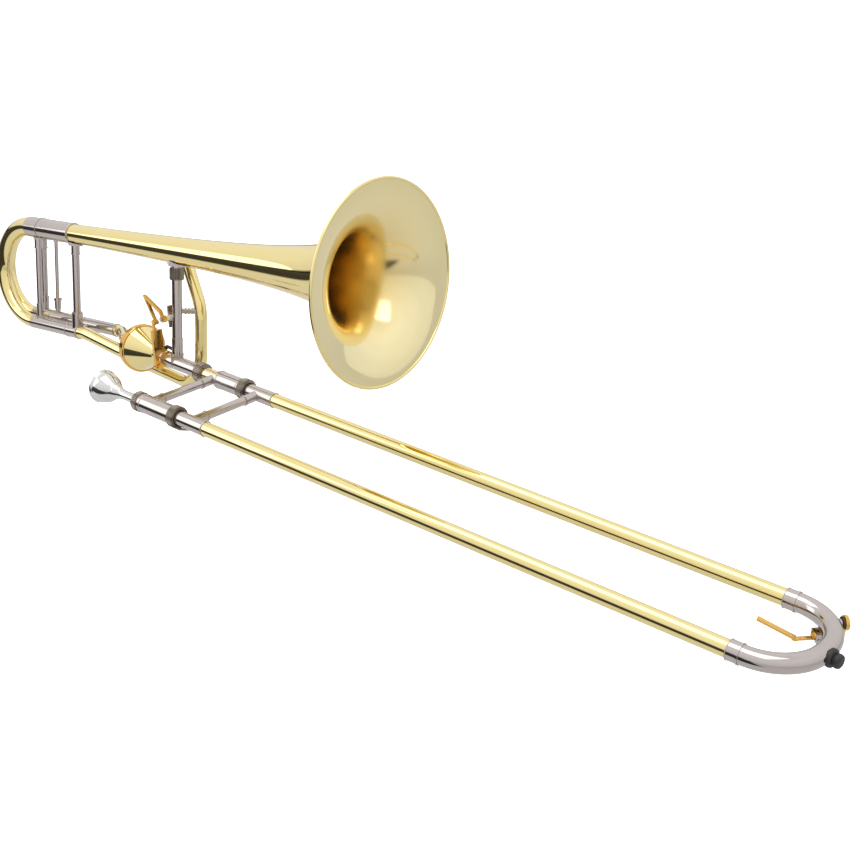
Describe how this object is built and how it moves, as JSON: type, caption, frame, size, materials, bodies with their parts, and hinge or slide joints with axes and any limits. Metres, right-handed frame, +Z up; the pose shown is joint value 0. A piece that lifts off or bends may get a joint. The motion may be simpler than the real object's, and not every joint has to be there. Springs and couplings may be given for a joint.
{
  "type": "tenor trombone",
  "caption": "Tenor trombone with a long U-shaped hand slide, a flared bell, an axial-flow valve with thumb trigger, a second tubing loop and a rubber-tipped bow",
  "frame": {"origin": "on the axis of the bell-side hand-slide tube, in the plane of the inner hand-slide brace, where the left hand holds the instrument", "axes": "+X along the hand slide towards its bow, +Z up towards the bell's axis, and the mouthpiece's tube is on the -Y side"},
  "size_m": [1.2273, 0.2522, 0.3191],
  "materials": {
    "lacquered_brass": "clear gold lacquer over polished yellow brass",
    "nickel_silver": "lacquered nickel silver, bright",
    "knurled_nickel": "knurled nickel silver, darker in the grooves",
    "gold_fittings": "deep gold lacquer, polished",
    "receiver_brass": "pale polished brass",
    "chromed_tube": "hard chromed, honed",
    "silver_plate": "silver plated, mirror polished",
    "black_rubber": "moulded, satin",
    "dark_cork": "cork and felt pads",
    "slide_cork": "cork sheet rings",
    "steel_pins": "turned steel, bright",
    "spring_brass": "drawn spring wire"
  },
  "bodies": {
    "bell_section": {"bell": "lacquered_brass", "bell_rim_wire": "lacquered_brass", "neck_sleeve": "nickel_silver", "lower_sleeve": "nickel_silver", "lower_inner_leg": "chromed_tube", "valve_inlet_tube": "lacquered_brass", "rear_bell_brace": "nickel_silver", "main_bell_brace": "nickel_silver", "brace_collar": "knurled_nickel", "bell_flange": "nickel_silver", "gooseneck": "nickel_silver", "loop_sleeves": "nickel_silver", "sleeve_rod": "nickel_silver", "cross_ties": "nickel_silver", "loop_upper_tube": "lacquered_brass", "loop_lower_tube": "lacquered_brass", "loop_port_tube": "lacquered_brass", "loop_tie": "nickel_silver", "valve_casing": "lacquered_brass", "valve_ring": "gold_fittings", "port_plate": "gold_fittings", "port_ferrules": "nickel_silver", "axle_bush": "gold_fittings", "stop_bumpers": "dark_cork", "trigger_saddle": "steel_pins", "trigger_pin": "steel_pins", "trigger_spring": "spring_brass", "bell_receiver": "receiver_brass", "inner_tubes": "chromed_tube", "cork_barrels": "nickel_silver", "slide_corks": "slide_cork", "inner_brace": "nickel_silver", "mouthpiece_receiver": "nickel_silver", "receiver_ring": "knurled_nickel", "bell_side_ring": "knurled_nickel"},
    "hand_slide": {"outer_tubes": "lacquered_brass", "outer_sleeves": "nickel_silver", "outer_brace": "nickel_silver", "bow_ferrules": "nickel_silver", "bow": "nickel_silver", "bow_bumper": "black_rubber", "key_saddle": "nickel_silver", "key_pin": "steel_pins"},
    "water_key_lever": {"water_key": "gold_fittings", "key_pad": "dark_cork"},
    "main_tuning_slide": {"tuning_crook": "lacquered_brass", "tuning_upper_leg": "nickel_silver", "tuning_lower_leg": "nickel_silver", "tuning_brace": "nickel_silver"},
    "loop_tuning_slide": {"loop_crook": "lacquered_brass", "loop_slide_legs": "chromed_tube", "loop_ferrules": "nickel_silver", "loop_slide_brace": "nickel_silver"},
    "valve_rotor": {"rotor": "chromed_tube", "rotor_crank": "gold_fittings"},
    "thumb_trigger": {"trigger_lever": "gold_fittings"},
    "trigger_link": {"link_bar": "gold_fittings"},
    "slide_lock": {"slide_lock_ring": "knurled_nickel"},
    "lock_nut": {"bell_lock_nut": "knurled_nickel"},
    "mouthpiece_piece": {"mouthpiece": "silver_plate"}
  },
  "joints": [
    {"name": "hand_slide_travel", "type": "slide", "parent": "bell_section", "child": "hand_slide", "axis": [1, 0, 0], "range_m": [0, 0.6]},
    {"name": "main_tuning_travel", "type": "slide", "parent": "bell_section", "child": "main_tuning_slide", "axis": [-0.9951, -0.0143, -0.0976], "range_m": [0, 0.05]},
    {"name": "loop_tuning_travel", "type": "slide", "parent": "bell_section", "child": "loop_tuning_slide", "axis": [-0.9951, -0.0143, -0.0976], "range_m": [0, 0.05]},
    {"name": "trigger_turn", "type": "hinge", "parent": "bell_section", "child": "thumb_trigger", "pos_m": [-0.077, -0.0001, 0.05405], "axis": [0.1908, 0.9816, 0], "range_deg": [0, 42.8], "stiffness_Nm_per_rad": 0.35, "springref_deg": -20.05},
    {"name": "link_swing", "type": "hinge", "parent": "thumb_trigger", "child": "trigger_link", "pos_m": [-0.09458, 0.00332, 0.04516], "axis": [0.1908, 0.9816, 0], "range_deg": [-43.3, 0.5]},
    {"name": "rotor_turn", "type": "hinge", "parent": "bell_section", "child": "valve_rotor", "pos_m": [-0.10781, 0.00589, -0.0027], "axis": [-0.9779, 0.1901, -0.0872], "range_deg": [-0.5, 66.5]},
    {"name": "water_key_turn", "type": "hinge", "parent": "hand_slide", "child": "water_key_lever", "pos_m": [0.7429, -0.01966, -0.0125], "axis": [-0.7193, 0.6947, 0], "range_deg": [0, 15], "stiffness_Nm_per_rad": 0.08, "springref_deg": -17.19},
    {"name": "slide_lock_turn", "type": "hinge", "parent": "bell_section", "child": "slide_lock", "pos_m": [0.049, -0.1013, 0], "axis": [1, 0, 0], "range_deg": [0, 35]},
    {"name": "lock_nut_turn", "type": "hinge", "parent": "bell_section", "child": "lock_nut", "pos_m": [-0.0235, 0, 0], "axis": [1, 0, 0], "continuous": true},
    {"name": "mouthpiece_draw", "type": "slide", "parent": "bell_section", "child": "mouthpiece_piece", "axis": [-1, 0, 0], "range_m": [0, 0.05]}
  ],
  "couplings": [
    {"joint": "link_swing", "follows": "trigger_turn", "ratio": -1},
    {"joint": "rotor_turn", "follows": "trigger_turn", "ratio": 1.5419}
  ]
}
